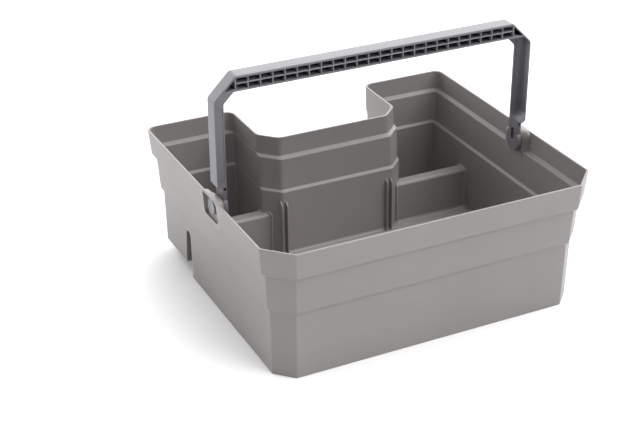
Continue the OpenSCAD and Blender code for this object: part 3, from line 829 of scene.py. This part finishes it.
def leg_plate(name, side, node):
    """A leg's plate as rings round a point above the pivot: groove floor, groove edge, inner
    face, rounded outline of the oval disc and the stem, and the outer face behind them."""
    half = GRIP_D / 2
    stem = math.acos(half / PLATE_HALF)
    arc = np.linspace(math.pi - stem, 2 * math.pi + stem, 33)
    disc = np.column_stack([PLATE_HALF * np.cos(arc), PLATE_R * np.sin(arc)])
    outline = np.concatenate([[[half, STEM_TOP], [-half, STEM_TOP]], disc])
    groove = rounded([[-GROOVE_HALF, GROOVE_FOOT], [GROOVE_HALF, GROOVE_FOOT], [GROOVE_HALF, GROOVE_TOP],
                      [-GROOVE_HALF, GROOVE_TOP]], GROOVE_HALF - 0.01, steps=8)
    middle = np.array([0.0, 4.0])
    angles, ray = rays([outline, groove], middle)
    edge, slot = radial(outline, angles, middle), radial(groove, angles, middle)
    inner = LEG_IN + 0.03
    floor, outer = inner + GROOVE_DEEP, inner + PLATE_T
    rings = [(0 * slot, floor), (slot - 0.6, floor), (slot - 0.18, floor - 0.2), (slot, floor - 0.6),
             (slot, inner + 0.4), (slot + 0.4, inner),
             (edge - 0.8, inner), (edge - 0.23, inner + 0.23), (edge, inner + 0.8),
             (edge, outer - 0.8), (edge - 0.23, outer - 0.26), (edge - 0.8, outer - 0.03),
             (0 * edge, outer - 0.03)]
    grid = ring_grid(rings, side, middle + PIVOT, ray)
    grid_piece(name, grid, "handle_plastic", "handle", (node,), caps=False, sharp=35)


def pivot_stud(name, side, node):
    """A stud turned about the pivot axis: radius against distance, with a round end edge and a
    faint dish in its end face."""
    profile = [(0, 183.3), (STUD_R, 183.3), (STUD_R, 192.9), (8.75, 193.35), (8.4, 193.65), (7.9, 193.75),
               (7.4, 193.72), (4, 193.5), (0, 193.42)]
    angle = np.linspace(0, 2 * math.pi, 65)[:-1]
    ray = np.column_stack([np.cos(angle), np.sin(angle)])
    grid = np.stack([at_x(side * x, PIVOT + r * ray) for r, x in profile])
    grid_piece(name, grid, "handle_plastic", "handle", (node,), caps=False, sharp=35)


# ---------------------------------------------------------------- build

def build_tub():
    """The tub: wall, floors, dividers, guide ribs and pivot pads."""
    tub_wall()
    runs = zones()
    floor_slab("front_floor", np.concatenate(runs["front"]), FLOOR_Z)
    floor_slab("right_wing_floor", runs["wing"][0], WING_Z + WALL, 96.5)
    floor_slab("left_wing_floor", runs["wing"][1], WING_Z + WALL, 96.5)
    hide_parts("tub_shell")
    wing_divider("left_divider", -1, "left_wing_divider")
    wing_divider("right_divider", 1, "right_wing_divider")
    guide_pair("rear_left_ribs", LEFT_SLOT_X, -1, "rear_left_guide")
    guide_pair("rear_right_ribs", RIGHT_SLOT_X, -1, "rear_right_guide")
    guide_pair("front_left_ribs", LEFT_SLOT_X, 1, "front_left_guide")
    guide_pair("front_right_ribs", RIGHT_SLOT_X, 1, "front_right_guide")
    pivot_pad("left_pad", -1, "left_pivot_pad")
    pivot_pad("right_pad", 1, "right_pivot_pad")


def build_handle():
    """The handle: bail, leg plates and pivot studs."""
    bail()
    for word, side in (("left", -1), ("right", 1)):
        leg_plate(word + "_leg_plate", side, word + "_leg")
        pivot_stud(word + "_stud", side, word + "_pivot_stud")


build_tub()
build_handle()


# ---------------------------------------------------------------- studio

# camera, in degrees, pixels and metres: turn to the left, rise, roll, focal length for an image
# of that width, the point looked at and the distance from it
CAMERA_TURN, CAMERA_RISE, CAMERA_ROLL = -26.2157, 27.9513, -0.1946
FOCAL_PIXELS, IMAGE_PIXELS, SENSOR_MM = 1452.1847, 640, 36
LOOK_AT, CAMERA_DISTANCE = Vector((-0.05664, 0, 0.091035)), 1.611606
# studio floor: half its width and its height, just under the tub
STUDIO_HALF, STUDIO_Z = 4.0, -0.0002
# softboxes of the studio dome: azimuth and elevation in degrees, tightness, brightness
DOME = [(135, 10, 8, 3.2), (90, 10, 8, 3.15), (45, 10, 8, 3.45), (315, 45, 8, 4.75),
        (45, 45, 8, 1.3), (0, 45, 8, 0.6), (0, 90, 4, 1.52)]
DOME_AMBIENT = 0.02


def floor_finish():
    """Pale matt studio floor with a very faint mottling."""
    mat = bpy.data.materials.new("studio floor")
    mat.use_nodes = True
    tree = mat.node_tree
    shader = tree.nodes["Principled BSDF"]
    shader.inputs["Roughness"].default_value = 0.9
    shader.inputs["Specular IOR Level"].default_value = 0.1
    noise = tree.nodes.new("ShaderNodeTexNoise")
    noise.inputs["Scale"].default_value = 3.0
    place = tree.nodes.new("ShaderNodeTexCoord")
    ramp = tree.nodes.new("ShaderNodeMapRange")
    ramp.inputs["To Min"].default_value = 0.90
    ramp.inputs["To Max"].default_value = 0.93
    tree.links.new(place.outputs["Object"], noise.inputs["Vector"])
    tree.links.new(noise.outputs["Fac"], ramp.inputs["Value"])
    tree.links.new(ramp.outputs["Result"], shader.inputs["Base Color"])
    return mat


def camera():
    """The camera, at its distance from the point looked at."""
    turn, rise, roll = (math.radians(v) for v in (CAMERA_TURN, CAMERA_RISE, CAMERA_ROLL))
    back = Vector((math.sin(turn) * math.cos(rise), -math.cos(turn) * math.cos(rise), math.sin(rise)))
    level = Vector((0, 0, 1)).cross(back).normalized()
    upright = back.cross(level)
    right = math.cos(roll) * level + math.sin(roll) * upright
    up = -math.sin(roll) * level + math.cos(roll) * upright
    lens = bpy.data.cameras.new("camera")
    eye = bpy.data.objects.new("camera", lens)
    bpy.context.scene.collection.objects.link(eye)
    lens.sensor_width = SENSOR_MM
    lens.lens = FOCAL_PIXELS / IMAGE_PIXELS * SENSOR_MM
    lens.clip_end = 30
    stand = Matrix((right, up, back)).transposed().to_4x4()
    stand.translation = LOOK_AT + back * CAMERA_DISTANCE
    eye.matrix_world = stand
    bpy.context.scene.camera = eye
    bpy.context.scene.view_settings.view_transform = "Standard"


def studio_floor():
    """A flat square that the tub stands on."""
    mesh = bpy.data.meshes.new("studio_floor")
    u = np.linspace(-STUDIO_HALF, STUDIO_HALF, 5)
    x, y = np.meshgrid(u, u)
    grid = np.stack([x, y, np.full_like(x, STUDIO_Z)], axis=-1)
    mesh.from_pydata(grid.reshape(-1, 3).tolist(), [], grid_faces(5, 5, False, False))
    mesh.materials.append(floor_finish())
    floor = bpy.data.objects.new("studio_floor", mesh)
    bpy.context.scene.collection.objects.link(floor)


def dome_light():
    """A dome of soft light in the world's shader: a few broad softboxes, each as bright as the
    cosine to its own direction raised to its tightness, over a faint even light."""
    world = bpy.data.worlds.new("studio")
    bpy.context.scene.world = world
    world.use_nodes = True
    tree = world.node_tree
    sky = tree.nodes["Background"]
    sky.inputs["Strength"].default_value = 1.0
    look = tree.nodes.new("ShaderNodeTexCoord")
    total = None
    for azimuth, elevation, tightness, brightness in DOME:
        around, above = math.radians(azimuth), math.radians(elevation)
        level = math.cos(above)
        dot = tree.nodes.new("ShaderNodeVectorMath")
        dot.operation = "DOT_PRODUCT"
        dot.inputs[1].default_value = (level * math.cos(around), level * math.sin(around), math.sin(above))
        tree.links.new(look.outputs["Generated"], dot.inputs[0])
        ahead = tree.nodes.new("ShaderNodeMath")
        ahead.operation = "MAXIMUM"
        ahead.inputs[1].default_value = 0.0
        tree.links.new(dot.outputs["Value"], ahead.inputs[0])
        lobe = tree.nodes.new("ShaderNodeMath")
        lobe.operation = "POWER"
        lobe.inputs[1].default_value = tightness
        tree.links.new(ahead.outputs[0], lobe.inputs[0])
        added = tree.nodes.new("ShaderNodeMath")
        added.operation = "MULTIPLY_ADD"
        added.inputs[1].default_value = brightness
        added.inputs[2].default_value = DOME_AMBIENT
        if total is not None:
            tree.links.new(total, added.inputs[2])
        tree.links.new(lobe.outputs[0], added.inputs[0])
        total = added.outputs[0]
    tree.links.new(total, sky.inputs["Color"])


camera()
studio_floor()
dome_light()
